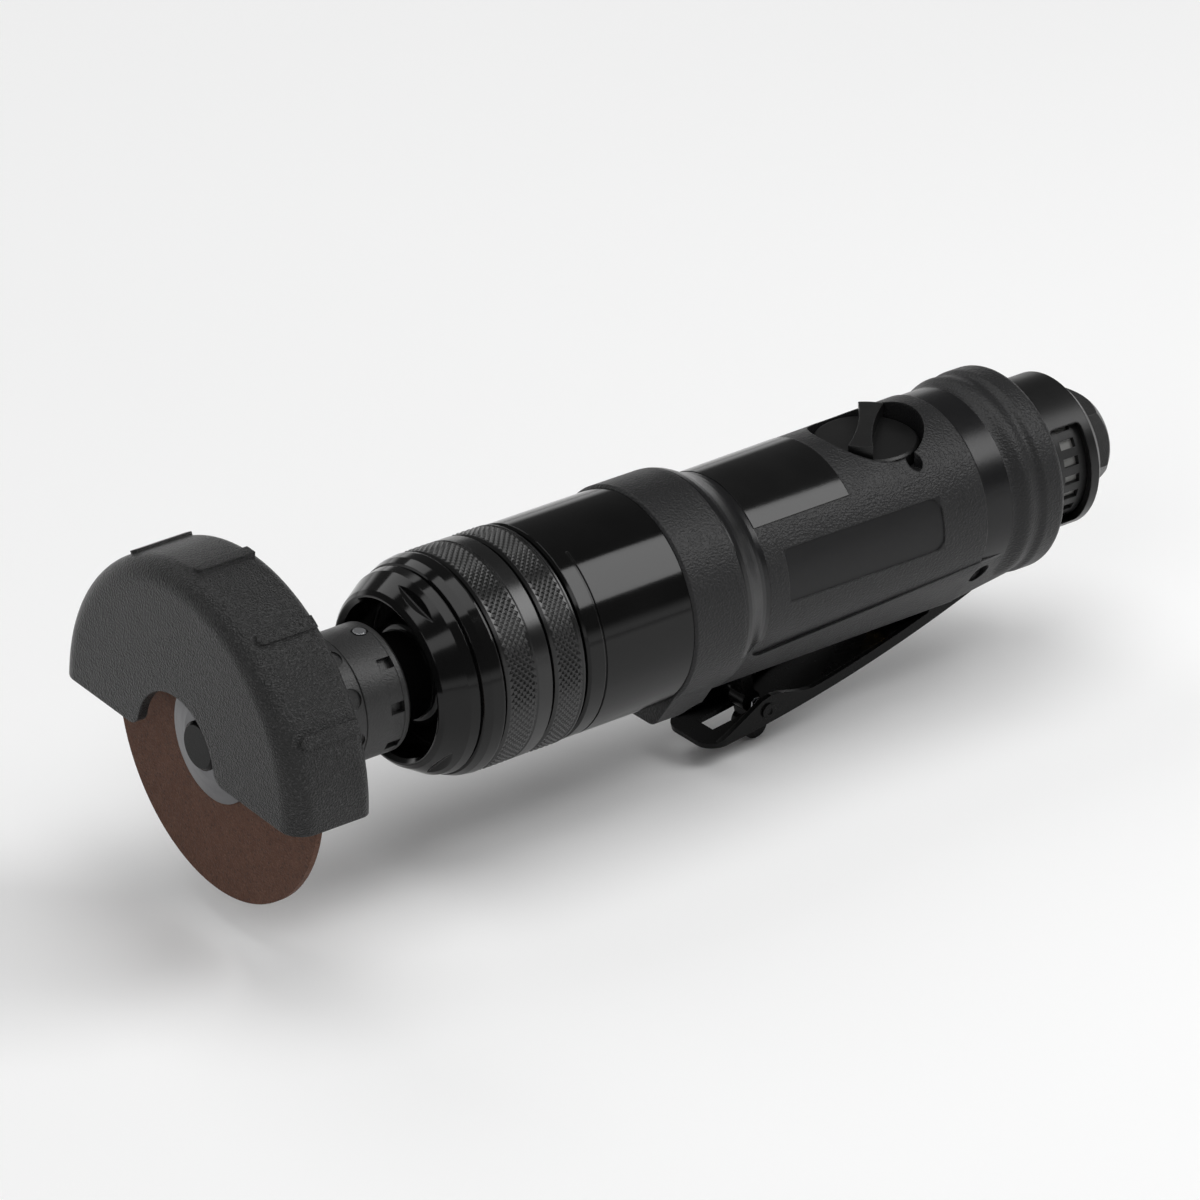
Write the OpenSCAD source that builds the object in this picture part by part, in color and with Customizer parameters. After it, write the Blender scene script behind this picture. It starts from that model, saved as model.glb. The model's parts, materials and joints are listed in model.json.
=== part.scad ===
// Pneumatic cut off tool with a turnable guard, a lever throttle and a reverse knob.
// The tool axis is X: the air inlet's mouth is at the origin and the cutting disc is at -X.
// +Z is up, towards the knob, and the throttle lever hangs below.

/* [Layout along the axis] */
// Length of the hexagon on the air inlet
hex_length = 8; // [5:0.5:14]
// Length of the exhaust sleeve
sleeve_length = 17.7; // [15:0.1:24]
// Length of the grip housing
housing_length = 112; // [104:1:130]
// Visible length of the gloss barrel
barrel_length = 30; // [22:1:45]
// Length of the rear knurled ring
rear_ring_length = 8.6; // [6:0.1:14]
// Length of the front knurled ring
front_ring_length = 12.7; // [10:0.1:20]
// Length of the nose ring
nose_length = 14.4; // [12:0.1:20]
// Dark gap between neighbouring rings
ring_gap = 0.7; // [0.4:0.1:1.2]
// Bare neck between the nose ring and the guard collar
neck_gap = 3.8; // [2:0.1:10]
// Length of the guard collar without its retaining ring
collar_length = 30.3; // [26:0.1:45]
// Length of the collar's retaining ring
collar_ring_length = 2; // [1.5:0.1:4]
// Width of the guard along the axis
guard_width = 21.3; // [20:0.1:30]
// From the guard's front face to the middle of the disc
disc_setback = 12; // [10.5:0.1:13]

/* [Cutting head] */
// Diameter of the cutting disc
disc_diameter = 76; // [64:1:80]
// Thickness of the cutting disc
disc_thickness = 1.6; // [1:0.1:2.4]
// Diameter of the disc's arbor hole
arbor_diameter = 9.5; // [8:0.1:12]
// Diameter of the two clamping flanges
flange_diameter = 29; // [24:1:34]
// Thickness of the outer flange
outer_flange_thickness = 2.4; // [1.6:0.1:3]
// Thickness of the inner flange's plate
inner_flange_thickness = 3.2; // [2:0.1:3.6]
// Diameter of the disc screw's head
screw_head_diameter = 11.6; // [10:0.1:14]
// Height of the disc screw's head
screw_head_height = 2.8; // [2:0.1:4]
// Shank diameter of the disc screw
screw_diameter = 6; // [4:0.5:6]
// Room between the disc's rim and the guard's wall
disc_clearance = 4.5; // [2:0.5:8]
// Wall thickness of the guard
guard_wall = 2.5; // [1.5:0.1:3]
// Fillet on the guard's front edge
guard_front_fillet = 5.5; // [3:0.5:6]
// Fillet on the guard's rear edge
guard_rear_fillet = 3; // [1:0.5:4]
// Radius of the notch in the guard's front plate
notch_radius = 14.6; // [10:0.1:20]
// Fillet on the two feet of the notch
notch_fillet = 3.5; // [1:0.5:6]
// Turn of the guard from square, as it is set
guard_turn = 3.2; // [-10:0.1:10]
// Number of ribs on the guard
guard_ribs = 5; // [3:1:9]
// Width of a guard rib
rib_width = 3.1; // [2.5:0.1:6]
// Angle between neighbouring guard ribs
rib_pitch = 31.5; // [20:0.5:36]
// Height of a guard rib
rib_height = 0.7; // [0.3:0.1:1.5]
// Outside diameter of the guard collar
collar_diameter = 30.4; // [29:0.1:36]
// Outside diameter of the neck inside the collar
neck_diameter = 24.8; // [24:0.1:26]
// Diameter of the thin part of the neck
thin_neck_diameter = 20.8; // [19:0.1:22]
// Places round the collar for its slots and its pin
collar_places = 9; // [6:1:12]
// Width of a collar slot
slot_width = 2.7; // [1.5:0.1:4]
// Length of a collar slot
slot_length = 3.6; // [2:0.1:6]
// Diameter of the guard pin
guard_pin_diameter = 3; // [2:0.1:4]

/* [Barrel and rings] */
// Outside diameter of the knurled rings
ring_diameter = 52; // [50:0.1:56]
// Outside diameter of the gloss barrel
barrel_diameter = 51.6; // [50:0.1:56]
// Diameter of the barrel's tenon under the rings
tenon_diameter = 41; // [40:0.1:43]
// Bore of the barrel
barrel_bore = 36; // [32:0.1:37]
// Diameter of the nose ring's front opening
nose_opening = 39; // [36:0.1:40]
// Diameter of the edge of the nose ring's front face
nose_face_diameter = 41.8; // [40:0.1:44]
// Diameter of the nose ring where its cone ends
nose_cone_diameter = 47.8; // [45:0.1:48.4]
// Diameter of the nose ring at its groove
nose_groove_diameter = 48.8; // [46:0.1:50]
// Number of spanner cuts in the nose ring
nose_cuts = 3; // [2:1:6]
// Outside diameter of the domed cap round the neck
cap_diameter = 27.4; // [25:0.1:32]

/* [Housing] */
// Diameter of the front flange
front_flange_diameter = 53; // [52:0.1:58]
// Length of the front flange
front_flange_length = 14.1; // [10:0.1:20]
// Length of the waist behind the front flange
waist_length = 10.4; // [6:0.1:16]
// Diameter of the grip at its front
grip_front_diameter = 45.6; // [45:0.1:50]
// Diameter of the grip at its rear
grip_rear_diameter = 47; // [45.6:0.1:50]
// Length of the smooth band before the rear flange
band_length = 8; // [5:0.1:12]
// Depth of the smooth band below the grip
band_depth = 0.4; // [0.2:0.1:0.8]
// Diameter of the rear flange
rear_flange_diameter = 49.6; // [48:0.1:54]
// Length of the rear flange with its shoulder
rear_flange_length = 15.3; // [12:0.1:20]
// Drop of the keel's flat bottom below the round grip
keel_drop = 2; // [1:0.1:4]
// Half width of the keel's flat bottom
keel_half_width = 12.5; // [11:0.1:14]
// Drop of the lip under the front flange below the keel
lip_drop = 3.5; // [2.5:0.1:6]
// Depth of the bare recess on the near side
panel_depth = 0.35; // [0.2:0.05:1.2]
// Thickness of the gloss plate on top of the grip
plate_thickness = 0.6; // [0.4:0.1:1]

/* [Throttle] */
// From the housing's rear face to the lever's pivot
pivot_setback = 20.7; // [18:0.1:23]
// Height of the lever's pivot above the keel's bottom
pivot_rise = 10.2; // [9:0.1:11]
// Diameter of the lever's pivot pin
pivot_pin_diameter = 4; // [3:0.1:5]
// From the housing's front face back to the lever's tip
lever_tip_setback = 14.1; // [10:0.1:22]
// Half width of the lever
lever_half_width = 9; // [8:0.1:10]
// Sheet thickness of the lever
lever_sheet = 1.4; // [1:0.1:2]
// Depth of the lever's floor below its pivot
lever_drop = 13.4; // [12.5:0.1:15]
// Rise of the bowed lever's ends above its middle
lever_bow = 2; // [0:0.1:3]
// Angle of the lever at rest
lever_rest_angle = 12.2; // [11:0.1:14]
// From the pivot forward to the tappet
tappet_reach = 17.6; // [16:0.1:18]
// Diameter of the tappet
tappet_diameter = 4; // [3:0.1:5]
// From the lever's tip back to the catch pin
catch_setback = 17.9; // [15:0.1:22]
// Diameter of the catch pin
catch_pin_diameter = 2; // [1.6:0.1:2.4]
// Width of the safety catch
catch_width = 5.2; // [4:0.1:6]
// Wire diameter of the catch spring
catch_wire = 0.5; // [0.4:0.05:0.6]

/* [Air inlet and exhaust] */
// Size of the inlet hexagon across its flats
hex_flats = 22.2; // [19:0.1:24]
// Diameter of the inlet's threaded hole
inlet_diameter = 11.4; // [10:0.1:13]
// Depth of the inlet's threaded hole
inlet_depth = 14; // [10:0.5:16]
// Diameter of the exhaust sleeve
sleeve_diameter = 37.4; // [36:0.1:42]
// Wall of the exhaust sleeve
sleeve_wall = 1.6; // [1:0.1:2]
// Angle that the sleeve's window spans
window_angle = 86; // [40:1:150]
// Number of slots round the muffler
muffler_slots = 24; // [12:1:36]
// Diameter of the throttle valve's ball
ball_diameter = 8.4; // [7.5:0.1:9]
// Diameter of the throttle valve's stem
stem_diameter = 2.4; // [1.6:0.1:3]

/* [Reverse knob] */
// Share of the housing's length between its rear face and the knob's axis
knob_share = 0.367; // [0.36:0.001:0.4]
// Diameter of the knob
knob_diameter = 25; // [20:0.5:27]
// Height of the knob's flat above the axis
knob_level = 19.2; // [18:0.1:20]
// Height of the wing above the knob's flat
wing_height = 3.6; // [2:0.1:6]
// Width of the wing at its waist
wing_waist = 3.6; // [2:0.1:6]
// Width of the wing at its ends
wing_end = 6; // [4:0.1:8]
// Turn of the wing from the tool axis at rest
wing_turn = 45; // [0:1:90]
// Diameter of the reverse spool
spool_diameter = 12; // [9:0.5:12]

/* [Motor] */
// Wall of the housing round the motor
motor_wall = 3.9; // [3:0.1:6]
// Least wall of the motor cylinder
cylinder_wall = 2.3; // [2:0.1:3]
// Thickness of each motor end plate
end_plate_thickness = 7; // [7:0.5:10]
// Offset of the cylinder's bore above the rotor
bore_offset = 1.4; // [0.8:0.1:1.6]
// Number of rotor vanes
vane_count = 5; // [4:1:8]
// Thickness of a vane
vane_thickness = 1.6; // [1:0.1:2.5]
// Diameter of the spindle inside the neck
spindle_diameter = 13; // [12:0.1:14]

/* [Hidden] */
$fn = 72;

// Clearances: a still fit, a running fit, a free gap between moving pieces
fit_gap = 0.05;
run_gap = 0.08;
free_gap = 0.3;
// Overshoot that keeps cuts clear of the faces that they pass
over = 1;

// Stations along the axis, from the inlet's mouth forward
x_hex_front = -hex_length;
x_housing_rear = x_hex_front - sleeve_length;
x_housing_front = x_housing_rear - housing_length;
x_barrel_front = x_housing_front - barrel_length;
x_rear_ring = x_barrel_front - ring_gap - rear_ring_length;
x_front_ring = x_rear_ring - ring_gap - front_ring_length;
x_nose_rear = x_front_ring - ring_gap;
x_nose_front = x_nose_rear - nose_length;
x_collar_ring_rear = x_nose_front - neck_gap;
x_collar_rear = x_collar_ring_rear - collar_ring_length - fit_gap;
x_collar_front = x_collar_rear - collar_length;
x_guard_rear = x_collar_front - fit_gap;
x_guard_front = x_guard_rear - guard_width;
x_disc = x_guard_front + disc_setback;

// Cutting head
disc_radius = disc_diameter / 2;
guard_radius = disc_radius + disc_clearance + guard_wall;
collar_radius = collar_diameter / 2;
neck_radius = neck_diameter / 2;
thin_neck_radius = thin_neck_diameter / 2;
collar_bore = neck_radius + run_gap;
pin_circle_x = x_collar_rear - slot_length / 2;
x_collar_line = x_collar_front + 0.66 * collar_length;
x_dimples = x_collar_line - 3;
pin_groove_depth = 1.5;
pin_sink = 0.6;
pin_ring_width = 0.45;
dimple_radius = 2.5;
dimple_depth = 0.5;

// Ball bearing of the neck: bore radius, outer radius, width
neck_bearing = [5, 9.5, 5];
bearing_ball_count = 8;
journal_gap = 0.03;
x_neck_front = x_collar_front + 1.7;
x_neck_bearing = x_neck_front + 2;

// Barrel, rings and nose
ring_radius = ring_diameter / 2;
barrel_radius = barrel_diameter / 2;
tenon_radius = tenon_diameter / 2;
barrel_bore_radius = barrel_bore / 2;
socket_depth = 7.8;
socket_tenon_radius = barrel_bore_radius + 2.4;
tenon_seat = 4.6;
x_tenon_front = x_nose_rear - tenon_seat;
edge_chamfer = 0.6;
knurl_share = 8.1;
knurl_relief = 0.25;
groove_setback = 4.6;
groove_width = 0.6;
groove_depth = 0.3;
groove_start = 115;
groove_sweep = 140;
nose_edge = 0.9;
nose_cone_end = 6;
nose_groove = 8.3;
nose_cut_angle = 107;
nose_cut_depth = 0.9;
nose_cut_half = 1.5;

// Housing
front_flange_radius = front_flange_diameter / 2;
rear_flange_radius = rear_flange_diameter / 2;
grip_front_radius = grip_front_diameter / 2;
grip_rear_radius = grip_rear_diameter / 2;
keel_depth = grip_rear_radius + keel_drop;
lip_depth = keel_depth + lip_drop;
x_flange_end = x_housing_front + front_flange_length;
x_grip_front = x_flange_end + waist_length;
x_shoulder = x_housing_rear - rear_flange_length;
x_grip_rear = x_shoulder - band_length;
shoulder_length = 9.5;
x_crest = x_shoulder + 4.5;
x_valley = x_shoulder + 7.2;
crest_radius = rear_flange_radius - 0.3;
valley_radius = rear_flange_radius - 0.7;
rear_edge_fillet = 2;
keel_corner = 4;
lip_corner = 4;
lip_half_width = keel_half_width + 0.5;
keel_rise = 7.6;
skirt_radius = grip_rear_radius + 0.15;
crease_corner = 4;
crease_front = -12;
crease_rear = -10;
curve_steps = 8;

// Knob
x_knob = x_housing_rear - knob_share * housing_length;
knob_radius = knob_diameter / 2;
knob_thickness = 3.4;
pocket_radius = knob_radius + 1.1;
pocket_notch_radius = 2;
pocket_notch_offset = 2.6;
pocket_floor = knob_level - knob_thickness - free_gap;
spool_radius = spool_diameter / 2;
spool_bottom = 5.2;
spool_square = 6;
spool_port = 2.4;
port_height = 8;
seal_height = 12.5;
seal_section = 0.55;

// Motor, its bearings listed like the neck's
motor_radius = grip_front_radius - motor_wall;
motor_bore_radius = motor_radius + fit_gap;
end_plate_wall = 7.9;
motor_bearing = [4, motor_radius - end_plate_wall, 7];
x_motor_front = x_housing_front + socket_depth + free_gap;
pocket_wall = 2;
x_motor_rear = x_knob - pocket_radius - pocket_wall;
x_cylinder_front = x_motor_front + end_plate_thickness;
x_cylinder_rear = x_motor_rear - end_plate_thickness;
rotor_gap = 0.3;
cylinder_bore_radius = motor_radius - cylinder_wall - bore_offset;
rotor_radius = cylinder_bore_radius - bore_offset - rotor_gap;
vane_depth = 0.44 * rotor_radius;
coupling_lead = 20;
coupling_length = 12;
x_coupling = x_motor_front - coupling_lead;

// Throttle
x_pivot = x_housing_rear - pivot_setback;
x_taper = x_pivot - 2.6;
pivot_depth = keel_depth - pivot_rise;
pivot_boss = 4.2;
lever_pin_overhang = 6.5;
pin_recess_radius = 2.7;
pin_recess_start = lever_half_width + lever_pin_overhang - 0.5;
lever_inner = lever_half_width - lever_sheet;
lever_slot_gap = 0.4;
lever_slot_lead = 11.5;
lever_slot_tail = 1.8;
lever_slot_roof = 0.5;
lever_reach = housing_length - pivot_setback - lever_tip_setback;
lever_tail = pivot_boss - 1.2;
lever_steps = 24;
bow_middle = 0.53 * lever_reach;
bow_half = 0.49 * lever_reach;
catch_reach = lever_reach - catch_setback;
catch_pin_radius = catch_pin_diameter / 2;
catch_pin_height = 3.3;
tongue_length = 7.8;
tongue_half = 1.5;
catch_hub = 2.6;
tab_drop = 7.1;
tab_radius = 3.3;
tab_neck = 1.7;
catch_slot_front = catch_reach + tab_drop + tab_radius + 1.8;
catch_slot_rear = catch_reach - catch_hub - 0.4;
catch_slot_half = catch_width / 2 + 0.4;
flange_strip = 2.6;
flange_bump = 7;
bump_length = 15;
x_tappet = x_pivot - tappet_reach;
tappet_radius = tappet_diameter / 2;
tappet_gap = 0.25;
bush_radius = tappet_radius + 2;
bush_length = 14;

// Air inlet and valve
inlet_radius = inlet_diameter / 2;
bushing_socket = 20.3;
bushing_radius = 9.5;
bushing_shoulder = 10.5;
ball_radius = ball_diameter / 2;
stem_radius = stem_diameter / 2;
chamber_radius = ball_radius + 1;
seat_thickness = 3;
seat_hole = 3.2;
bushing_lip = 1.1;
stem_chamber = 4.6;
stem_overhang = 1.5;
chamber_lead = 5.8;
x_bushing_front = x_housing_rear - bushing_socket;
x_seat_rear = x_bushing_front + bushing_lip + seat_thickness;
x_chamber = x_tappet - stem_overhang - chamber_lead;
x_ball = x_seat_rear + sqrt(ball_radius ^ 2 - seat_hole ^ 2) + run_gap;
screen_thickness = 0.9;
valve_wire = 0.8;
valve_coil_radius = 3.4;
exhaust_port_radius = 2.6;
exhaust_port_offset = 13.6;
sleeve_radius = sleeve_diameter / 2;
sleeve_bore = sleeve_radius - sleeve_wall;
muffler_radius = sleeve_bore - 0.5;
muffler_wall = 1.2;
muffler_cap = 1.6;
x_muffler_rear = x_hex_front - 2 * free_gap - sleeve_wall;
window_front = 3;
window_rear = 4.6;
window_corner = 1.2;
hex_turn = 39.8;
hex_face = hex_flats / 2 - 0.6;
hex_corner = hex_flats / sqrt(3);
hex_chamfer = 2.6;

// Position of a fraction t from a to b
function mix(a, b, t) = a + (b - a) * t;
// Smooth S from 0 to 1
function ease(t) = (1 - cos(180 * t)) / 2;
// Points [radius, x] of a smooth step between two radii
function smooth_step(r0, r1, x0, x1) =
    [for (i = [0 : curve_steps]) let (t = i / curve_steps) [mix(r0, r1, ease(t)), mix(x0, x1, t)]];
// Points of an arc
function arc(cx, cy, r, a0, a1) =
    [for (i = [0 : curve_steps]) let (a = mix(a0, a1, i / curve_steps)) [cx + r * cos(a), cy + r * sin(a)]];
// Radius of the grip's cone at x
function grip_radius(x) =
    mix(grip_front_radius, grip_rear_radius, (x - x_grip_front) / (x_grip_rear - x_grip_front));
// Height of the bowed lever's underside over its pivot, u in front of the pivot
function floor_height(u) = lever_bow * ((u - bow_middle) / bow_half) ^ 2 - lever_drop;
// Slope of the lever's floor at u
function floor_slope(u) = atan(2 * lever_bow * (bow_middle - u) / bow_half ^ 2);
// Height of the lever's side flange above its underside at u, highest at the catch pin
function flange_height(u) = let (t = (catch_reach - u) / bump_length)
    t < 0 ? max(lever_sheet, mix(flange_bump, 0, (u - catch_reach) / catch_setback)) :
    t < 1 ? mix(flange_bump, flange_strip, ease(t)) : flange_strip;

// A 2D shape in [radius, x] turned about the tool axis, from an angle and over a sweep
module turn(from = 0, sweep = 360)
    rotate([from + 90, 0, 0]) rotate([0, 90, 0]) rotate_extrude(angle = sweep) children();
// A round bar along the axis, with an optional bore
module bar(x, length, r, bore = 0)
    translate([x, 0, 0]) rotate([0, 90, 0]) difference() {
        cylinder(h = length, r = r);
        if (bore > 0) translate([0, 0, -over]) cylinder(h = length + 2 * over, r = bore);
    }
// A 2D shape in [y, z] run along the axis
module run(x, length) translate([x, 0, 0]) rotate([90, 0, 90]) linear_extrude(length) children();
// A 2D shape in [x, z] drawn out across the tool, centred
module across(width) rotate([90, 0, 0]) translate([0, 0, -width / 2]) linear_extrude(width) children();
// A hole or pin that points outwards from the axis at an angle
module radial(x, angle, from, to, r)
    rotate([angle, 0, 0]) translate([x, from, 0]) rotate([-90, 0, 0]) cylinder(h = to - from, r = r);
// A round bar across the tool, centred
module cross_bar(x, z, length, r)
    translate([x, 0, z]) rotate([90, 0, 0]) cylinder(h = length, r = r, center = true);
// A rectangle with round corners, centred
module rounded_rectangle(w, h, r) {
    square([w - 2 * r, h], center = true);
    square([w, h - 2 * r], center = true);
    for (i = [-1, 1], j = [-1, 1]) translate([i * (w / 2 - r), j * (h / 2 - r)]) circle(r);
}
// A rectangle from two corners
module box2d(x0, x1, y0, y1) translate([x0, y0]) square([x1 - x0, y1 - y0]);
// What follows is placed on the lever, with the pivot at its origin
module on_lever()
    translate([x_pivot, 0, -pivot_depth]) rotate([0, -lever_rest_angle, 0]) children();
// What follows turns with the guard as it is set
module on_guard() rotate([guard_turn, 0, 0]) children();

// Round grip section with a flat keel, its flanks tangent to both
module keel_section(r, half_width, depth, corner) {
    cy = half_width - corner;
    cz = depth - corner;
    normal = atan2(-cz, cy) + acos((r - corner) / norm([cy, cz]));
    on_grip = r * [cos(normal), sin(normal)];
    on_corner = [cy, -cz] + corner * [cos(normal), sin(normal)];
    circle(r);
    for (s = [-1, 1]) translate([s * cy, -cz]) circle(corner);
    polygon([on_grip, on_corner, [cy, -depth], [-cy, -depth],
        [-on_corner[0], on_corner[1]], [-on_grip[0], on_grip[1]]]);
}

// Outside of the turned part of the housing
module housing_turned() turn() polygon(concat(
    [[0, x_housing_front], [front_flange_radius - edge_chamfer, x_housing_front],
        [front_flange_radius, x_housing_front + edge_chamfer]],
    smooth_step(front_flange_radius, grip_front_radius, x_flange_end, x_grip_front),
    [[grip_rear_radius, x_grip_rear], [grip_rear_radius - band_depth, x_grip_rear + band_depth]],
    smooth_step(grip_rear_radius - band_depth, crest_radius, x_shoulder, x_crest),
    smooth_step(crest_radius, valley_radius, x_crest, x_valley),
    smooth_step(valley_radius, rear_flange_radius, x_valley, x_shoulder + shoulder_length),
    [for (p = arc(x_housing_rear - rear_edge_fillet, rear_flange_radius - rear_edge_fillet,
        rear_edge_fillet, 90, 0)) [p[1], p[0]]],
    [[0, x_housing_rear]]));

// Everything below the crease line on the grip's flanks
module below_crease() across(4 * keel_depth) polygon(concat(
    [[x_housing_front, -2 * keel_depth], [x_housing_front, crease_front]],
    arc(x_grip_front + crease_corner - 2.8, crease_front, crease_corner, 180, 270),
    [[x_taper, crease_rear], [x_housing_rear, crease_rear], [x_housing_rear, -2 * keel_depth]]));

// Keel under the grip with a proud skirt below the crease, rising from the pivot into the rear flange
module keel_bar(length) run(0, length) keel_section(skirt_radius, keel_half_width, keel_depth, keel_corner);
module keel() {
    inset = 0.1;
    run(x_housing_front, x_taper - x_housing_front)
        keel_section(grip_front_radius, keel_half_width - inset, keel_depth - inset, keel_corner);
    intersection() {
        union() {
            translate([x_housing_front, 0, 0]) keel_bar(x_taper - x_housing_front);
            translate([x_taper, 0, 1.5 * inset - keel_depth]) rotate([0, -keel_rise, 0])
                translate([0, 0, keel_depth]) keel_bar(x_housing_rear - 2 * rear_edge_fillet - x_taper);
        }
        below_crease();
    }
}

// Lip under the front flange that covers the lever's tip
module lip() {
    rise = 8;
    x_rise = x_housing_front + 4;
    intersection() {
        run(x_housing_front, x_rise + rise - x_housing_front)
            keel_section(front_flange_radius - edge_chamfer, lip_half_width, lip_depth, lip_corner);
        across(4 * lip_depth) polygon(concat([[x_housing_front, 0], [x_housing_front, -lip_depth]],
            [for (p = smooth_step(lip_depth, keel_depth, x_rise, x_rise + rise)) [p[1], -p[0]]],
            [[x_rise + rise, 0]]));
    }
}

// Recess for the gloss plate, or the plate itself, on top of the grip
plate_sweep = 90;
plate_margin = 4.7;
x_plate = x_grip_front + 0.2;
plate_length = x_knob - pocket_radius - plate_margin - x_plate;
module plate_solid(bottom, top, margin)
    turn(90 - plate_sweep / 2 - margin, plate_sweep + 2 * margin)
        polygon([[grip_radius(x_plate) - bottom, x_plate - margin],
            [grip_radius(x_plate) + top, x_plate - margin],
            [grip_radius(x_plate + plate_length) + top, x_plate + plate_length + margin],
            [grip_radius(x_plate + plate_length) - bottom, x_plate + plate_length + margin]]);

// Bare recess on the near side of the grip
module panel_recess() {
    front_margin = 5.7;
    rear_margin = 12.7;
    length = x_grip_rear - x_grip_front - front_margin - rear_margin;
    height = 12.7;
    x_middle = x_grip_front + front_margin + length / 2;
    z_middle = 4.35;
    front_corner = 1.5;
    rear_corner = 3.2;
    intersection() {
        translate([x_middle, 0, z_middle]) rotate([90, 0, 0]) linear_extrude(grip_rear_radius + over) {
            rounded_rectangle(length, height, rear_corner);
            translate([-length / 4, 0]) rounded_rectangle(length / 2, height, front_corner);
        }
        turn() polygon([[grip_radius(x_grip_front) - panel_depth, x_grip_front],
            [grip_rear_radius + over, x_grip_front], [grip_rear_radius + over, x_grip_rear],
            [grip_radius(x_grip_rear) - panel_depth, x_grip_rear]]);
    }
}

// Grip housing
module housing() color("#2b2b2d") difference() {
    union() {
        housing_turned();
        keel();
        lip();
    }
    bar(x_housing_front - over, socket_depth + free_gap + over, socket_tenon_radius + fit_gap);
    bar(x_housing_front, x_motor_rear + free_gap - x_housing_front, motor_bore_radius);
    bar(x_bushing_front, bushing_socket + over, bushing_radius + fit_gap);
    bar(x_chamber, x_bushing_front - x_chamber + over, stem_chamber);
    translate([x_knob, 0, 0]) cylinder(h = knob_level, r = spool_radius + run_gap);
    translate([x_knob, 0, pocket_floor]) cylinder(h = grip_rear_radius, r = pocket_radius);
    translate([x_knob + pocket_notch_offset, 1 - pocket_radius - pocket_notch_radius, pocket_floor])
        cylinder(h = grip_rear_radius, r = pocket_notch_radius);
    translate([0, 0, port_height]) bar(x_motor_rear - over, x_knob - x_motor_rear + over, spool_port);
    for (s = [-1, 1]) translate([0, s * exhaust_port_offset, 0])
        bar(x_motor_rear - over, x_housing_rear - x_motor_rear + 2 * over, exhaust_port_radius);
    translate([x_tappet, 0, -2 * keel_depth]) {
        cylinder(h = keel_depth + bush_length, r = bush_radius + fit_gap);
        cylinder(h = 2 * keel_depth, r = tappet_radius + free_gap);
    }
    across(2 * (lever_half_width + lever_slot_gap))
        box2d(x_pivot - lever_slot_lead, x_pivot + pivot_boss + lever_slot_tail,
            -lip_depth, -pivot_depth + pivot_boss + lever_slot_roof);
    cross_bar(x_pivot, -pivot_depth, 2 * rear_flange_diameter, pivot_pin_diameter / 2 + fit_gap);
    for (s = [-1, 1]) translate([0, s * (pin_recess_start + rear_flange_radius / 2), 0])
        cross_bar(x_pivot, -pivot_depth, rear_flange_radius, pin_recess_radius);
    plate_solid(plate_thickness + fit_gap, over, fit_gap);
    panel_recess();
}

// Bare gloss plate let into the top of the grip
module label_plate() color("#1a1a1b") plate_solid(plate_thickness, 0.1, 0);

// Gloss barrel with a tenon at each end
module barrel() color("#0d0d0e") difference() {
    union() {
        turn() polygon([[0, x_barrel_front], [barrel_radius - edge_chamfer, x_barrel_front],
            [barrel_radius, x_barrel_front + edge_chamfer], [barrel_radius, x_housing_front],
            [0, x_housing_front]]);
        bar(x_tenon_front, x_barrel_front - x_tenon_front + over, tenon_radius);
        bar(x_housing_front - over, socket_depth + over, socket_tenon_radius);
    }
    bar(x_tenon_front - over, x_housing_front + socket_depth - x_tenon_front + 2 * over,
        barrel_bore_radius);
    x_line = x_barrel_front + groove_setback;
    turn(groove_start, groove_sweep)
        box2d(barrel_radius - groove_depth, barrel_radius + over, x_line, x_line + groove_width);
}

// A ring that turns on the barrel's tenon, lower over its knurled first stretch
module knurled_ring(x, length, knurled) turn() {
    low = ring_radius - knurl_relief;
    polygon([[tenon_radius + run_gap, x], [low - edge_chamfer, x], [low, x + edge_chamfer],
        [low, x + knurled], [ring_radius, x + knurled + knurl_relief],
        [ring_radius, x + length - edge_chamfer], [ring_radius - edge_chamfer, x + length],
        [tenon_radius + run_gap, x + length]]);
}
module rear_knurled_ring() color("#151516")
    knurled_ring(x_rear_ring, rear_ring_length, rear_ring_length - 2 * edge_chamfer);
module front_knurled_ring() color("#151516") knurled_ring(x_front_ring, front_ring_length, knurl_share);

// Nose ring: a coned nose with an edge groove, lens shaped spanner cuts and a seat on the tenon
module nose_ring() color("#121213") {
    opening = nose_opening / 2;
    face = nose_face_diameter / 2;
    cone = nose_cone_diameter / 2;
    groove = nose_groove_diameter / 2;
    x_groove = x_nose_front + nose_groove;
    edge = 0.4;
    groove_floor = groove - 1.5 * edge;
    x_cut = (nose_edge + nose_cone_end) / 2;
    cone_angle = atan2(cone - face, nose_cone_end - nose_edge);
    cut_top = 2;
    cut_top_half = nose_cut_half * (cut_top + nose_cut_depth) / nose_cut_depth;
    difference() {
        turn() polygon([[opening, x_nose_front], [opening + edge, x_nose_front],
            [face, x_nose_front + nose_edge], [cone, x_nose_front + nose_cone_end],
            [groove, x_groove], [groove_floor, x_groove + edge / 4], [groove_floor, x_groove + edge],
            [groove + edge, x_groove + 2 * edge], [ring_radius - edge, x_groove + 7 * edge],
            [ring_radius, x_nose_rear - 2 * edge], [ring_radius, x_nose_rear - edge],
            [ring_radius - edge, x_nose_rear],
            [tenon_radius + fit_gap, x_nose_rear], [tenon_radius + fit_gap, x_tenon_front - fit_gap],
            [opening - over, x_tenon_front - fit_gap], [opening - over, x_nose_front + over]]);
        for (i = [0 : nose_cuts - 1]) rotate([nose_cut_angle + i * 360 / nose_cuts, 0, 0])
            translate([x_nose_front + x_cut, (face + cone) / 2, 0]) rotate([0, 0, cone_angle])
                linear_extrude(nose_opening, center = true)
                    polygon([[0, -nose_cut_depth], [cut_top_half, cut_top], [-cut_top_half, cut_top]]);
    }
}

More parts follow.
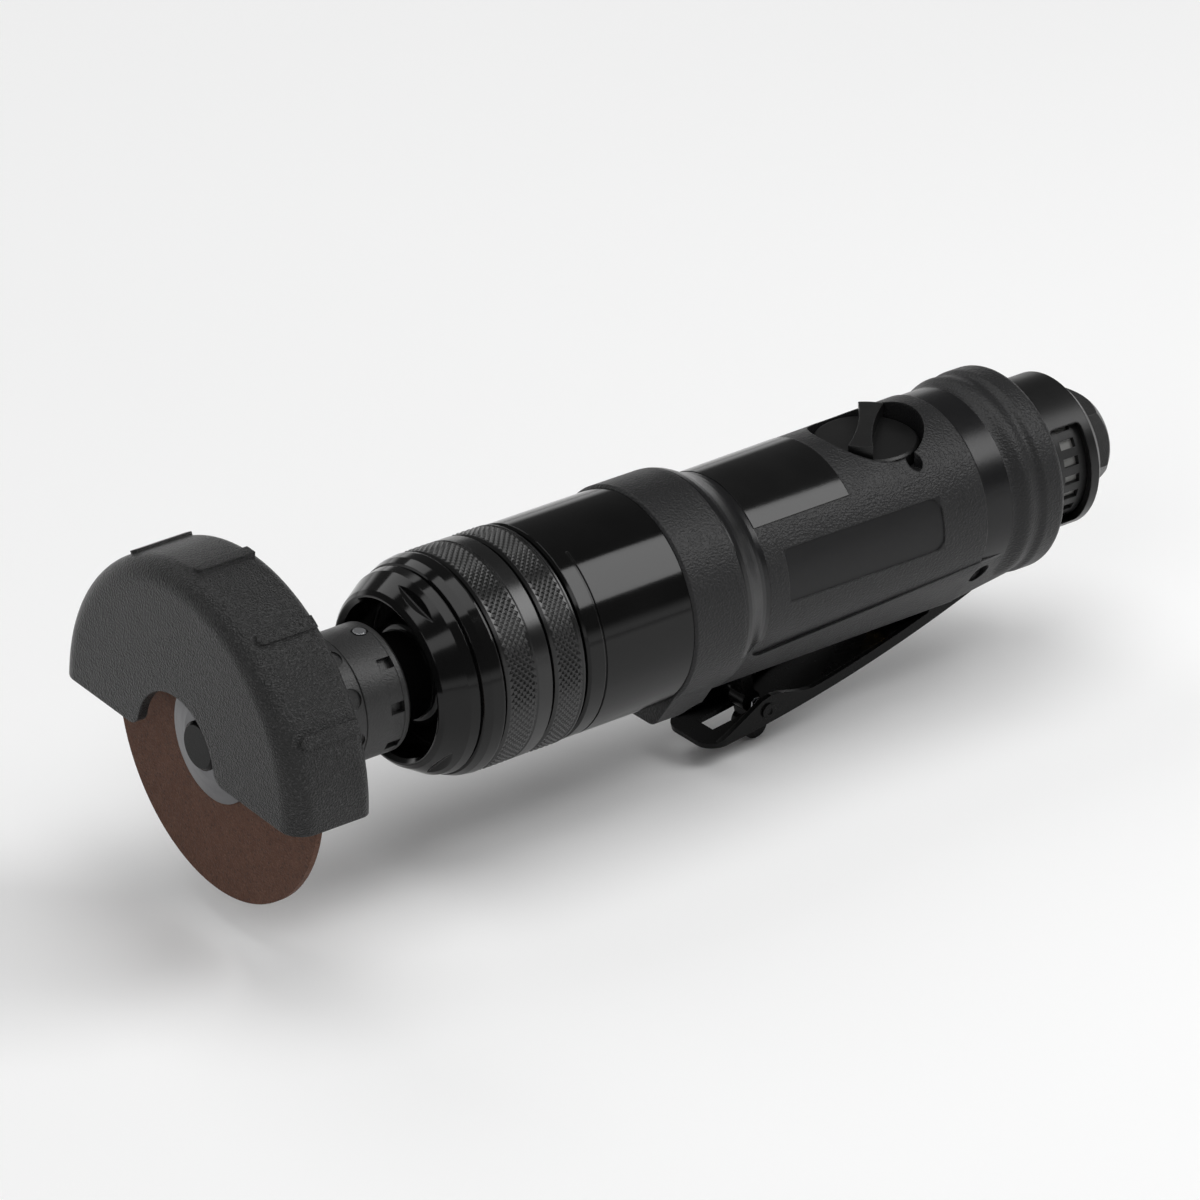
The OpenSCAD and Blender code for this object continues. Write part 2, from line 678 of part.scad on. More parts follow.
// Neck: carries the guard collar outside and the front bearing inside
module neck() color("#18181a") difference() {
    x_base = x_tenon_front + 0.8;
    x_base_rear = x_base + 19;
    x_thin = x_collar_ring_rear + free_gap;
    turn() polygon([[0, x_neck_front], [neck_radius - edge_chamfer, x_neck_front],
        [neck_radius, x_neck_front + edge_chamfer], [neck_radius, x_thin], [thin_neck_radius, x_thin],
        [thin_neck_radius, x_base], [barrel_bore_radius - fit_gap, x_base],
        [barrel_bore_radius - fit_gap, x_base_rear], [0, x_base_rear]]);
    bar(x_neck_front - over, x_base_rear - x_neck_front + 2 * over, spindle_diameter / 2 + 1);
    bar(x_neck_front - over, over + 2 + neck_bearing[2] + fit_gap, neck_bearing[1] + fit_gap);
    turn() box2d(neck_radius - pin_groove_depth, neck_radius + over,
        pin_circle_x - guard_pin_diameter / 2 - free_gap, pin_circle_x + guard_pin_diameter / 2 + free_gap);
}

// Domed gloss cap at the foot of the neck
module neck_cap() color("#101012") {
    x_base = x_tenon_front + 0.8;
    dome = cap_diameter / 2 - thin_neck_radius - fit_gap;
    turn() difference() {
        translate([thin_neck_radius + fit_gap, x_base]) scale([1, 1.7]) circle(dome);
        box2d(0, thin_neck_radius + fit_gap, x_base - cap_diameter, x_base + cap_diameter);
        box2d(0, cap_diameter, x_base, x_base + cap_diameter);
    }
}

// Deep groove ball bearing in three nodes
function race_radius(b) = (b[0] + b[1]) / 2;
function ball_size(b) = (b[1] - b[0]) * 0.3;
module race_groove(x, b) translate([race_radius(b), x + b[2] / 2]) circle(ball_size(b) + 0.12, $fn = 48);
module bearing_outer(x, b) color("#b9bcc0") turn() difference() {
    box2d(race_radius(b) + ball_size(b) * 0.55, b[1], x, x + b[2]);
    race_groove(x, b);
}
module bearing_inner(x, b) color("#b9bcc0") turn() difference() {
    box2d(b[0], race_radius(b) - ball_size(b) * 0.55, x, x + b[2]);
    race_groove(x, b);
}
module bearing_balls(x, b) color("#d5d7da")
    for (i = [0 : bearing_ball_count - 1]) rotate([i * 360 / bearing_ball_count, 0, 0])
        translate([x + b[2] / 2, race_radius(b), 0]) sphere(ball_size(b), $fn = 32);

// Guard: half drum with front and rear plates, ribs, and a ring round the collar's bore
module guard_profile(r, front, rear, f_front, f_rear, inner) {
    box2d(inner, r - max(f_front, f_rear), front, rear);
    box2d(inner, r, front + f_front, rear - f_rear);
    translate([r - f_front, front + f_front]) circle(f_front);
    box2d(inner, r - f_front, front, front + f_front);
    translate([r - f_rear, rear - f_rear]) circle(f_rear);
    box2d(inner, r - f_rear, rear - f_rear, rear);
}
// Sliver between a foot of the notch and its fillet, in [y, z]
module notch_foot() {
    centre = sqrt((notch_radius + notch_fillet) ^ 2 - notch_fillet ^ 2);
    touch = atan2(notch_fillet, centre);
    polygon(concat([[0, -over], [centre, -over]],
        arc(centre, notch_fillet, notch_fillet, 270, 180 + touch), [[0, notch_fillet]]));
}
module guard() color("#262628") on_guard() {
    inner_radius = guard_radius - guard_wall;
    x_in_front = x_guard_front + guard_wall;
    x_in_rear = x_guard_rear - guard_wall;
    first_rib = 90 - (guard_ribs - 1) / 2 * rib_pitch;
    x_rib = x_guard_front + guard_front_fillet - 1;
    rib_length = x_guard_rear - guard_rear_fillet / 2 - x_rib;
    difference() {
        union() {
            turn(0, 180) difference() {
                guard_profile(guard_radius, x_guard_front, x_guard_rear,
                    guard_front_fillet, guard_rear_fillet, 0);
                guard_profile(inner_radius, x_in_front, x_in_rear,
                    guard_front_fillet - guard_wall / 2, guard_rear_fillet / 2, -over);
            }
            bar(x_in_rear, guard_wall, collar_radius);
            for (i = [0 : guard_ribs - 1]) rotate([first_rib + i * rib_pitch, 0, 0]) intersection() {
                translate([x_rib, 0, 0]) rotate([-90, 0, 0]) linear_extrude(guard_radius + over) {
                    translate([rib_width / 2, 0]) circle(rib_width / 2);
                    box2d(rib_width / 2, rib_length, -rib_width / 2, rib_width / 2);
                }
                bar(x_guard_front, guard_width, guard_radius + rib_height, guard_radius - guard_wall / 2);
            }
        }
        bar(x_in_rear - over, guard_wall + 2 * over, collar_bore);
        bar(x_guard_front - over, guard_wall + 2 * over, notch_radius);
        for (s = [0, 1]) mirror([0, s, 0]) run(x_guard_front - over, guard_wall + 2 * over) notch_foot();
    }
}

// Collar of the guard: turns on the neck, with spanner slots, dimples and the pin's hole
module guard_collar() color("#202022") on_guard() difference() {
    turn() polygon([[collar_bore, x_collar_front], [collar_radius, x_collar_front],
        [collar_radius, x_collar_line - 0.2], [collar_radius - 0.35, x_collar_line],
        [collar_radius, x_collar_line + 0.2], [collar_radius, x_collar_rear], [collar_bore, x_collar_rear]]);
    for (i = [1 : collar_places - 1]) rotate([90 + i * 360 / collar_places, 0, 0])
        translate([x_collar_rear - slot_length, collar_radius - 1.6, -slot_width / 2])
            cube([slot_length + over, collar_radius, slot_width]);
    for (i = [0 : collar_places - 1])
        radial(x_dimples, 90 + (i + 0.5) * 360 / collar_places, collar_radius - dimple_depth,
            collar_radius + over, dimple_radius);
    radial(pin_circle_x, 90, 0, collar_radius + over, guard_pin_diameter / 2 + fit_gap);
    radial(pin_circle_x, 90, collar_radius - pin_sink, collar_radius + over,
        guard_pin_diameter / 2 + pin_ring_width);
}

// Retaining ring behind the collar
module collar_ring() color("#242426") on_guard()
    turn() polygon([[collar_bore, x_collar_rear + fit_gap], [collar_radius, x_collar_rear + fit_gap],
        [collar_radius, x_collar_ring_rear - 0.8], [collar_radius - 0.7, x_collar_ring_rear],
        [collar_bore, x_collar_ring_rear]]);

// Silver pin in the collar that rides in the neck's groove and keeps the guard on
module guard_pin() color("#d8dadd") on_guard()
    radial(pin_circle_x, 90, neck_radius - pin_groove_depth + free_gap, collar_radius + 0.1,
        guard_pin_diameter / 2);

// Cutting disc
module cutting_disc() color("#4a342b")
    bar(x_disc - disc_thickness / 2, disc_thickness, disc_radius, arbor_diameter / 2);

// Outer flange, dished towards the screw
module outer_flange() color("#c9ccd0") {
    x_face = x_disc - disc_thickness / 2 - fit_gap;
    rim = flange_diameter / 2;
    hole = screw_diameter / 2 + fit_gap;
    turn() polygon([[hole, x_face], [rim, x_face], [rim, x_face - outer_flange_thickness / 2],
        [screw_head_diameter / 2 + 3, x_face - outer_flange_thickness],
        [hole, x_face - outer_flange_thickness]]);
}

// Inner flange with the pilot that centres the disc and a hub against the bearing
module inner_flange() color("#b5b8bc") {
    x_face = x_disc + disc_thickness / 2 + fit_gap;
    pilot = arbor_diameter / 2 - fit_gap;
    difference() {
        turn() polygon([[0, x_disc - disc_thickness / 2], [pilot, x_disc - disc_thickness / 2],
            [pilot, x_face], [flange_diameter / 2, x_face],
            [flange_diameter / 2, x_face + inner_flange_thickness],
            [neck_bearing[0] + 1.2, x_face + inner_flange_thickness + 1],
            [neck_bearing[0] + 1.2, x_neck_bearing - fit_gap], [0, x_neck_bearing - fit_gap]]);
        bar(x_disc - disc_thickness, 2 * disc_thickness + inner_flange_thickness,
            screw_diameter / 2 + fit_gap);
        bar(x_face + inner_flange_thickness, x_neck_bearing - x_face,
            neck_bearing[0] - journal_gap + fit_gap);
    }
}

// Disc screw into the spindle's end
module disc_screw() color("#1d1d1f") {
    x_seat = x_disc - disc_thickness / 2 - 2 * fit_gap - outer_flange_thickness;
    head = screw_head_diameter / 2;
    turn() polygon([[0, x_seat - screw_head_height], [head - 0.7, x_seat - screw_head_height],
        [head, x_seat - screw_head_height + 0.7], [head, x_seat], [screw_diameter / 2, x_seat],
        [screw_diameter / 2, x_neck_bearing + neck_bearing[2]], [0, x_neck_bearing + neck_bearing[2]]]);
}

// Spindle: front journal in the neck bearing, rear socket on the rotor's shaft
module spindle() color("#a9adb2") difference() {
    x_face = x_disc + disc_thickness / 2 + 2 * fit_gap + inner_flange_thickness;
    x_shoulder_front = x_neck_bearing + neck_bearing[2] + fit_gap;
    x_end = x_coupling + coupling_length;
    turn() polygon([[0, x_face], [neck_bearing[0] - journal_gap, x_face],
        [neck_bearing[0] - journal_gap, x_shoulder_front], [neck_bearing[0] + 1.2, x_shoulder_front],
        [spindle_diameter / 2, x_shoulder_front + 4], [spindle_diameter / 2, x_end], [0, x_end]]);
    bar(x_face - over, x_neck_bearing + neck_bearing[2] + 2 - x_face + over, screw_diameter / 2 + fit_gap);
    bar(x_coupling, coupling_length + over, motor_bearing[0] - journal_gap + fit_gap);
}

// Motor cylinder with its bore set above the rotor, and inlet ports
module motor_cylinder() color("#8d9196") difference() {
    bar(x_cylinder_front, x_cylinder_rear - x_cylinder_front, motor_radius);
    translate([0, 0, bore_offset])
        bar(x_cylinder_front - over, x_cylinder_rear - x_cylinder_front + 2 * over, cylinder_bore_radius);
    for (i = [-1, 0, 1])
        radial((x_cylinder_front + x_cylinder_rear) / 2 + i * 8, -90, rotor_radius, motor_radius + over, 2);
}
module end_plate(x) color("#9da1a6")
    bar(x, end_plate_thickness - fit_gap, motor_radius, motor_bearing[1] + fit_gap);
module front_end_plate() end_plate(x_motor_front);
module rear_end_plate() end_plate(x_cylinder_rear + fit_gap);

// Rotor with vane slots and a journal at each end
module rotor() color("#7c8086") difference() {
    journal = motor_bearing[0] - journal_gap;
    x0 = x_cylinder_front + rotor_gap;
    x1 = x_cylinder_rear - rotor_gap;
    turn() polygon([[0, x_coupling + fit_gap], [journal, x_coupling + fit_gap], [journal, x0 - rotor_gap],
        [journal + 1.5, x0 - rotor_gap], [journal + 1.5, x0], [rotor_radius, x0], [rotor_radius, x1],
        [journal + 1.5, x1], [journal + 1.5, x1 + rotor_gap], [journal, x1 + rotor_gap],
        [journal, x_motor_rear - 2 * fit_gap], [0, x_motor_rear - 2 * fit_gap]]);
    for (i = [0 : vane_count - 1]) rotate([i * 360 / vane_count, 0, 0])
        translate([x0 - over, rotor_radius - vane_depth - fit_gap, -vane_thickness / 2 - fit_gap])
            cube([x1 - x0 + 2 * over, vane_depth + over, vane_thickness + 2 * fit_gap]);
}

// Vanes, drawn in their slots
module vanes() color("#5b3f2a") for (i = [0 : vane_count - 1]) rotate([i * 360 / vane_count, 0, 0])
    translate([x_cylinder_front + 2 * rotor_gap, rotor_radius - vane_depth, -vane_thickness / 2])
        cube([x_cylinder_rear - x_cylinder_front - 4 * rotor_gap, vane_depth - 0.2, vane_thickness]);

// Throttle lever: a bowed channel pressed from sheet, open upwards, its flanks high round the catch pin
function lever_line(lift) = [for (i = [0 : lever_steps])
    let (u = mix(-lever_tail, lever_reach, i / lever_steps)) [-u, floor_height(u) + lift]];
module lever_side() {
    top = [for (i = [0 : lever_steps]) let (u = mix(lever_reach, 2.4 * pivot_boss, i / lever_steps))
        [-u, floor_height(u) + flange_height(u)]];
    polygon(concat(lever_line(0), top, [[-lever_tail, 0], [lever_tail, 0]]));
}
module lever_plan() {
    corner = 5;
    box2d(-lever_reach + corner, 2 * pivot_boss, -lever_half_width - over, lever_half_width + over);
    box2d(-lever_reach, -lever_reach + corner + over, -lever_half_width + corner, lever_half_width - corner);
    for (s = [-1, 1]) translate([-lever_reach + corner, s * (lever_half_width - corner)]) circle(corner);
}
module throttle_lever() color("#1b1b1d") on_lever() difference() {
    union() {
        intersection() {
            across(2 * lever_half_width) lever_side();
            translate([0, 0, -2 * lever_drop]) linear_extrude(4 * lever_drop) lever_plan();
        }
        cross_bar(0, 0, 2 * lever_half_width, pivot_boss);
    }
    across(2 * lever_inner) polygon(concat(
        [[2 * pivot_boss, lever_drop], [2 * pivot_boss, floor_height(-lever_tail) + lever_sheet]],
        lever_line(lever_sheet),
        [[-lever_reach - over, floor_height(lever_reach) + lever_sheet], [-lever_reach - over, lever_drop]]));
    cross_bar(0, 0, 4 * lever_half_width, pivot_pin_diameter / 2 + run_gap);
    cross_bar(-catch_reach, catch_pin_z, 4 * lever_half_width, catch_pin_radius + fit_gap);
    translate([0, 0, -2 * lever_drop]) linear_extrude(2 * lever_drop)
        box2d(-catch_slot_front, -catch_slot_rear, -catch_slot_half, catch_slot_half);
}

// Pivot pin of the lever, set back in the housing's cross hole
module lever_pin() color("#3a3b3d")
    cross_bar(x_pivot, -pivot_depth, 2 * (lever_half_width + lever_pin_overhang), pivot_pin_diameter / 2);

// Safety catch on the lever: a finger tab below and an upright tongue above
catch_pin_z = floor_height(catch_reach) + catch_pin_height;
module on_catch() on_lever() translate([-catch_reach, 0, catch_pin_z]) children();
module safety_catch() color("#101012") on_catch() difference() {
    across(catch_width) {
        circle(catch_hub);
        box2d(-tongue_half, tongue_half, 0, tongue_length);
        box2d(-tab_neck, tab_neck, -tab_drop, 0);
        translate([0, -tab_drop]) circle(tab_radius);
    }
    cross_bar(0, 0, 2 * catch_width, catch_pin_radius + run_gap);
}

// Catch pin, riveted over outside the lever's flanges
module catch_pin() color("#3a3b3d") on_catch() {
    head = 1.9;
    head_height = 0.5;
    hollow = 0.9;
    difference() {
        union() {
            cross_bar(0, 0, 2 * (lever_half_width + head_height), catch_pin_radius);
            for (s = [-1, 1]) translate([0, s * (lever_half_width + head_height / 2 + fit_gap), 0])
                cross_bar(0, 0, head_height, head);
        }
        for (s = [-1, 1]) translate([0, s * (lever_half_width + head_height), 0])
            cross_bar(0, 0, head_height, hollow);
    }
}

// A round wire swept along a path of points, as one closed tube of triangles
module wire(path, r, sides = 6) {
    n = len(path);
    heading = [for (i = [0 : n - 1]) let (d = path[min(i + 1, n - 1)] - path[max(i - 1, 0)]) d / norm(d)];
    ring = [for (i = [0 : n - 1]) let (
        guide = abs(heading[i][1]) > 0.9 ? [1, 0, 0] : [0, 1, 0],
        side = cross(heading[i], guide) / norm(cross(heading[i], guide)),
        rise = cross(side, heading[i]))
        for (k = [0 : sides - 1]) path[i] + r * (cos(k * 360 / sides) * side + sin(k * 360 / sides) * rise)];
    walls = [for (i = [0 : n - 2], k = [0 : sides - 1], half = [0, 1]) let (
        a = i * sides + k, b = i * sides + (k + 1) % sides, c = a + sides, d = b + sides)
        half == 0 ? [a, c, b] : [b, c, d]];
    caps = concat([for (k = [1 : sides - 2]) [0, k, k + 1]],
        [for (k = [1 : sides - 2]) [(n - 1) * sides, (n - 1) * sides + k + 1, (n - 1) * sides + k]]);
    polyhedron(ring, concat(walls, caps));
}
// Least gap between turns of a coil, from its own points
function least_gap(path, r, turn_points) =
    min([for (i = [0 : len(path) - 1], j = [i + ceil(turn_points / 2) : 1 : len(path) - 1])
        norm(path[i] - path[j])]) - 2 * r;

// Torsion spring round the catch pin, with its two legs
curl_points = 8;
catch_curls = 3;
catch_coil_radius = 1.45;
catch_pitch = 2 * catch_wire;
catch_leg = 5;
catch_leg_lift = 0.5;
function catch_coil() = let (y0 = -lever_inner + 0.7) concat(
    [[-catch_leg, y0, catch_leg_lift - catch_coil_radius]],
    [for (i = [0 : catch_curls * curl_points]) let (a = -90 - i * 360 / curl_points)
        [catch_coil_radius * cos(a), y0 + catch_pitch * i / curl_points, catch_coil_radius * sin(a)]],
    [[catch_leg, y0 + catch_pitch * catch_curls, catch_leg_lift - catch_coil_radius]]);
module catch_spring() color("#c4c7cb") {
    echo(catch_spring_gap = least_gap(catch_coil(), catch_wire / 2, curl_points));
    on_catch() wire(catch_coil(), catch_wire / 2);
}

// Valve tappet: round ended, from the lever's floor up to the valve's stem
module valve_tappet() color("#b08d4a") {
    rest = lever_rest_angle;
    u = (tappet_reach + (lever_drop - lever_sheet) * sin(rest)) / cos(rest);
    floor_top = (floor_height(u) + lever_sheet) * cos(rest) - u * sin(rest) - pivot_depth;
    low = floor_top + (tappet_radius + tappet_gap) / cos(rest + floor_slope(u));
    high = -stem_radius - tappet_gap - tappet_radius;
    translate([x_tappet, 0, low]) {
        cylinder(h = high - low, r = tappet_radius);
        sphere(tappet_radius);
    }
    translate([x_tappet, 0, high]) sphere(tappet_radius);
}
module tappet_bush() color("#a98746") translate([x_tappet, 0, -keel_depth]) difference() {
    cylinder(h = bush_length, r = bush_radius);
    translate([0, 0, -over]) cylinder(h = bush_length + 2 * over, r = tappet_radius + run_gap);
}

// Tilting throttle valve: a ball in the inlet and a stem over the tappet
module throttle_valve() color("#9fa3a8") {
    translate([x_ball, 0, 0]) sphere(ball_radius);
    bar(x_tappet - stem_overhang, x_ball - x_tappet + stem_overhang, stem_radius);
}
module valve_seat() color("#b59a55") turn() polygon([
    [seat_hole, x_seat_rear - seat_thickness], [chamber_radius - fit_gap, x_seat_rear - seat_thickness],
    [chamber_radius - fit_gap, x_seat_rear], [seat_hole, x_seat_rear]]);

// Compression spring behind the valve's ball
valve_curls = 7;
x_valve_spring = x_ball + sqrt((ball_radius + valve_wire / 2 + free_gap) ^ 2 - valve_coil_radius ^ 2);
x_valve_spring_end = -inlet_depth - screen_thickness - 2 * fit_gap - valve_wire / 2;
function valve_coil() = [for (i = [0 : valve_curls * curl_points]) let (a = i * 360 / curl_points)
    [mix(x_valve_spring, x_valve_spring_end, i / (valve_curls * curl_points)),
        valve_coil_radius * cos(a), valve_coil_radius * sin(a)]];
module valve_spring() color("#c4c7cb") {
    echo(valve_spring_gap = least_gap(valve_coil(), valve_wire / 2, curl_points));
    wire(valve_coil(), valve_wire / 2);
}

// Strainer at the foot of the inlet's thread
module inlet_screen() color("#caa95c") difference() {
    bar(-inlet_depth - screen_thickness - fit_gap, screen_thickness, chamber_radius - fit_gap);
    for (i = [0 : 6]) rotate([i * 60, 0, 0]) translate([0, i == 6 ? 0 : 3, 0])
        bar(-inlet_depth - screen_thickness - over, screen_thickness + 2 * over, 0.8);
}

// Inlet bushing with its hexagon, thread hole and valve chamber
module inlet_bushing() color("#1f1f21") difference() {
    union() {
        bar(x_bushing_front, bushing_socket, bushing_radius);
        bar(x_housing_rear + fit_gap, sleeve_length, bushing_shoulder);
        bar(x_housing_rear - over, 2 * over, bushing_radius);
        intersection() {
            translate([x_hex_front, 0, 0]) rotate([0, 90, 0])
                rotate(hex_turn) cylinder(h = hex_length, r = hex_corner, $fn = 6);
            turn() polygon([[0, x_hex_front], [hex_corner + over, x_hex_front],
                [hex_corner + over, -hex_chamfer * (hex_corner + over - hex_face) / (hex_corner - hex_face)],
                [hex_face, 0], [0, 0]]);
        }
    }
    bar(-inlet_depth, inlet_depth + over, inlet_radius);
    bar(x_bushing_front + bushing_lip, -inlet_depth - x_bushing_front, chamber_radius);
    bar(x_bushing_front - over, bushing_lip + 2 * over, seat_hole + 0.8);
}

// Exhaust sleeve: turns on the bushing to aim its window
module exhaust_sleeve() color("#1d1d1f") {
    x0 = x_housing_rear + free_gap;
    x1 = x_hex_front - free_gap;
    rim = 2.2;
    difference() {
        turn() polygon([[sleeve_bore, x0], [sleeve_radius, x0], [sleeve_radius, x1 - rim],
            [sleeve_radius - rim, x1], [bushing_shoulder + run_gap, x1],
            [bushing_shoulder + run_gap, x1 - sleeve_wall],
            [sleeve_bore - rim * 0.6, x1 - sleeve_wall], [sleeve_bore, x1 - sleeve_wall - rim * 0.6]]);
        translate([(x0 + window_front + x1 - window_rear) / 2, 0, 0]) rotate([90, 0, 0])
            linear_extrude(sleeve_diameter) rounded_rectangle(x1 - window_rear - x0 - window_front,
                sleeve_diameter * sin(window_angle / 2), window_corner);
    }
}

// Muffler ring behind the window, with a row of slots and a comb of notches
module muffler_ring() color("#1c1c1d") {
    x0 = x_housing_rear + fit_gap;
    slot = 2.2;
    difference() {
        turn() polygon([[muffler_radius - muffler_wall, x0], [muffler_radius, x0],
            [muffler_radius, x_muffler_rear - 1], [muffler_radius - 1, x_muffler_rear],
            [bushing_shoulder + fit_gap, x_muffler_rear],
            [bushing_shoulder + fit_gap, x_muffler_rear - muffler_cap],
            [muffler_radius - muffler_wall, x_muffler_rear - muffler_cap]]);
        for (i = [0 : muffler_slots - 1]) rotate([i * 360 / muffler_slots, 0, 0]) {
            translate([x0 + 6.4, bushing_shoulder + 1, -slot / 2]) cube([2 * slot, sleeve_radius, slot]);
            translate([x0 + 2.6, bushing_shoulder + 1, -slot / 2]) cube([slot, sleeve_radius, slot]);
        }
    }
}

// Felt inside the muffler ring
module muffler_felt() color("#a9aaa8")
    bar(x_housing_rear + fit_gap, x_muffler_rear - muffler_cap - x_housing_rear - 2 * fit_gap,
        muffler_radius - muffler_wall - fit_gap, bushing_shoulder + fit_gap);

// Reverse knob: a flat disc with a waisted wing across it
module reverse_knob() color("#1a1a1c") translate([x_knob, 0, knob_level - knob_thickness]) difference() {
    edge = 0.6;
    half = knob_radius - 0.4;
    bulge = (wing_end - wing_waist) / 2;
    waist_radius = (half ^ 2 + bulge ^ 2) / (2 * bulge);
    union() {
        cylinder(h = knob_thickness - edge, r = knob_radius);
        translate([0, 0, knob_thickness - edge])
            cylinder(h = edge, r1 = knob_radius, r2 = knob_radius - edge);
        rotate(wing_turn) intersection() {
            linear_extrude(knob_thickness + wing_height) difference() {
                square([2 * half, wing_end], center = true);
                for (s = [-1, 1]) translate([0, s * (wing_waist / 2 + waist_radius)])
                    circle(waist_radius, $fn = 180);
            }
            cylinder(h = knob_thickness + wing_height, r = half);
        }
    }
    translate([-spool_square / 2 - fit_gap, -spool_square / 2 - fit_gap, -over])
        cube([spool_square + 2 * fit_gap, spool_square + 2 * fit_gap, knob_thickness + over - 0.8]);
}

// Reverse spool under the knob, with its square tang, port and seal groove
module reverse_spool() color("#a4a8ad") translate([x_knob, 0, 0]) difference() {
    top = knob_level - knob_thickness - fit_gap;
    union() {
        translate([0, 0, spool_bottom]) cylinder(h = top - spool_bottom, r = spool_radius);
        translate([-spool_square / 2, -spool_square / 2, spool_bottom])
            cube([spool_square, spool_square, top - spool_bottom + knob_thickness - 1]);
    }
    translate([0, 0, spool_bottom - over])
        cylinder(h = port_height + 2 * over - spool_bottom, r = spool_port);
    rotate([0, -90, 0]) translate([port_height, 0, 0]) cylinder(h = spool_diameter, r = spool_port - 0.4);
    rotate_extrude() box2d(spool_radius - 2 * seal_section - fit_gap, spool_radius + over,
        seal_height - seal_section - fit_gap, seal_height + seal_section + fit_gap);
}
module spool_seal() color("#2a2a2a") translate([x_knob, 0, seal_height])
    rotate_extrude() translate([spool_radius - seal_section, 0]) circle(seal_section, $fn = 24);

housing();
label_plate();
barrel();
rear_knurled_ring();
front_knurled_ring();
nose_ring();
neck();
neck_cap();
bearing_outer(x_neck_bearing, neck_bearing);  // neck_bearing_outer
bearing_inner(x_neck_bearing, neck_bearing);  // neck_bearing_inner
bearing_balls(x_neck_bearing, neck_bearing);  // neck_bearing_balls
guard();
guard_collar();
collar_ring();
guard_pin();
cutting_disc();
outer_flange();
inner_flange();
disc_screw();
spindle();
motor_cylinder();
front_end_plate();
rear_end_plate();
rotor();
vanes();
bearing_outer(x_motor_front, motor_bearing);  // front_bearing_outer
bearing_inner(x_motor_front, motor_bearing);  // front_bearing_inner
bearing_balls(x_motor_front, motor_bearing);  // front_bearing_balls
bearing_outer(x_cylinder_rear, motor_bearing);  // rear_bearing_outer
bearing_inner(x_cylinder_rear, motor_bearing);  // rear_bearing_inner
bearing_balls(x_cylinder_rear, motor_bearing);  // rear_bearing_balls
throttle_lever();
lever_pin();
safety_catch();
catch_pin();
catch_spring();
valve_tappet();
tappet_bush();
throttle_valve();
valve_seat();
valve_spring();
inlet_screen();
inlet_bushing();
exhaust_sleeve();
muffler_ring();
muffler_felt();
reverse_knob();
reverse_spool();
spool_seal();
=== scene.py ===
"""Looks of the pneumatic cut off tool: materials, the knurls, the inlet thread and the studio."""

import json
import math

import bpy
from mathutils import Matrix, Vector


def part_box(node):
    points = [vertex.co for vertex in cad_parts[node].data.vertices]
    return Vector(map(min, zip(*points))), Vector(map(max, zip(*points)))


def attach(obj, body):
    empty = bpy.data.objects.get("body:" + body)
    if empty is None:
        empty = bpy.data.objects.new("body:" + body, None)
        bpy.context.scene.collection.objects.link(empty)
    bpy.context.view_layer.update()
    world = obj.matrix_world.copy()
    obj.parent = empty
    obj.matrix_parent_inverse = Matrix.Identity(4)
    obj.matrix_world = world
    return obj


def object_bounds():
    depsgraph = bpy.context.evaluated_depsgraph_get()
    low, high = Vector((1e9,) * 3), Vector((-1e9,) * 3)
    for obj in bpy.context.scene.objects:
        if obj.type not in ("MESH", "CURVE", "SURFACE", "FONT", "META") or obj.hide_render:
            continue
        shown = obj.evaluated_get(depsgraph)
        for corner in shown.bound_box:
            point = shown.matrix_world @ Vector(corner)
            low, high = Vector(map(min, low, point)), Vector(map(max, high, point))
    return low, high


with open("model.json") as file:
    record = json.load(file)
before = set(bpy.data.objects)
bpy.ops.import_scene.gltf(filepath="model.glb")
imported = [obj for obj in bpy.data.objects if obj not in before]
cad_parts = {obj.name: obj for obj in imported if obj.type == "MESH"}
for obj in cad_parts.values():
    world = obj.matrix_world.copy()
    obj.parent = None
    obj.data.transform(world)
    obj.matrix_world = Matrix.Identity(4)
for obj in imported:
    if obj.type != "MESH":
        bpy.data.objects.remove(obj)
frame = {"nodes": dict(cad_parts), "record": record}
cad_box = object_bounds()

MM = 0.001


# Places that the looks follow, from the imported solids

HOUSING_LOW, HOUSING_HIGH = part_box("housing")
FRONT_RING_LOW, FRONT_RING_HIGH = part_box("front_knurled_ring")
REAR_RING_LOW, REAR_RING_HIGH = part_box("rear_knurled_ring")
INLET = next(m for m in frame["record"]["mounts"] if m["name"] == "air_inlet")

# Smooth areas on the grip, in metres: along X behind the housing's front face, and along Z
WAIST_BAND = (15.0 * MM, 24.7 * MM)
REAR_BAND = (88.7 * MM, 96.7 * MM)
BANDS_BOTTOM = -11 * MM
PANEL_LENGTH = (30.2 * MM, 76.0 * MM)
PANEL_HEIGHT = (-2.0 * MM, 10.7 * MM)


# Node helpers

def new_material(name):
    """A material, its node tree and its surface shader."""
    material = bpy.data.materials.new(name)
    material.use_nodes = True
    tree = material.node_tree
    return material, tree, tree.nodes["Principled BSDF"]


def add(tree, kind, inputs=None, **settings):
    """A node with its settings; an input is a constant or another node's output."""
    made = tree.nodes.new(kind)
    for key, value in settings.items():
        setattr(made, key, value)
    for key, value in (inputs or {}).items():
        if isinstance(value, bpy.types.NodeSocket):
            tree.links.new(value, made.inputs[key])
        else:
            made.inputs[key].default_value = value
    return made


def set_inputs(tree, shader, **values):
    """Constants and outputs set on the shader; underscores stand for spaces."""
    for key, value in values.items():
        socket = shader.inputs[key.replace("_", " ")]
        if isinstance(value, bpy.types.NodeSocket):
            tree.links.new(value, socket)
        else:
            socket.default_value = value


def position(tree):
    """Place on the object in metres, which is the shared frame."""
    return add(tree, "ShaderNodeTexCoord").outputs["Object"]


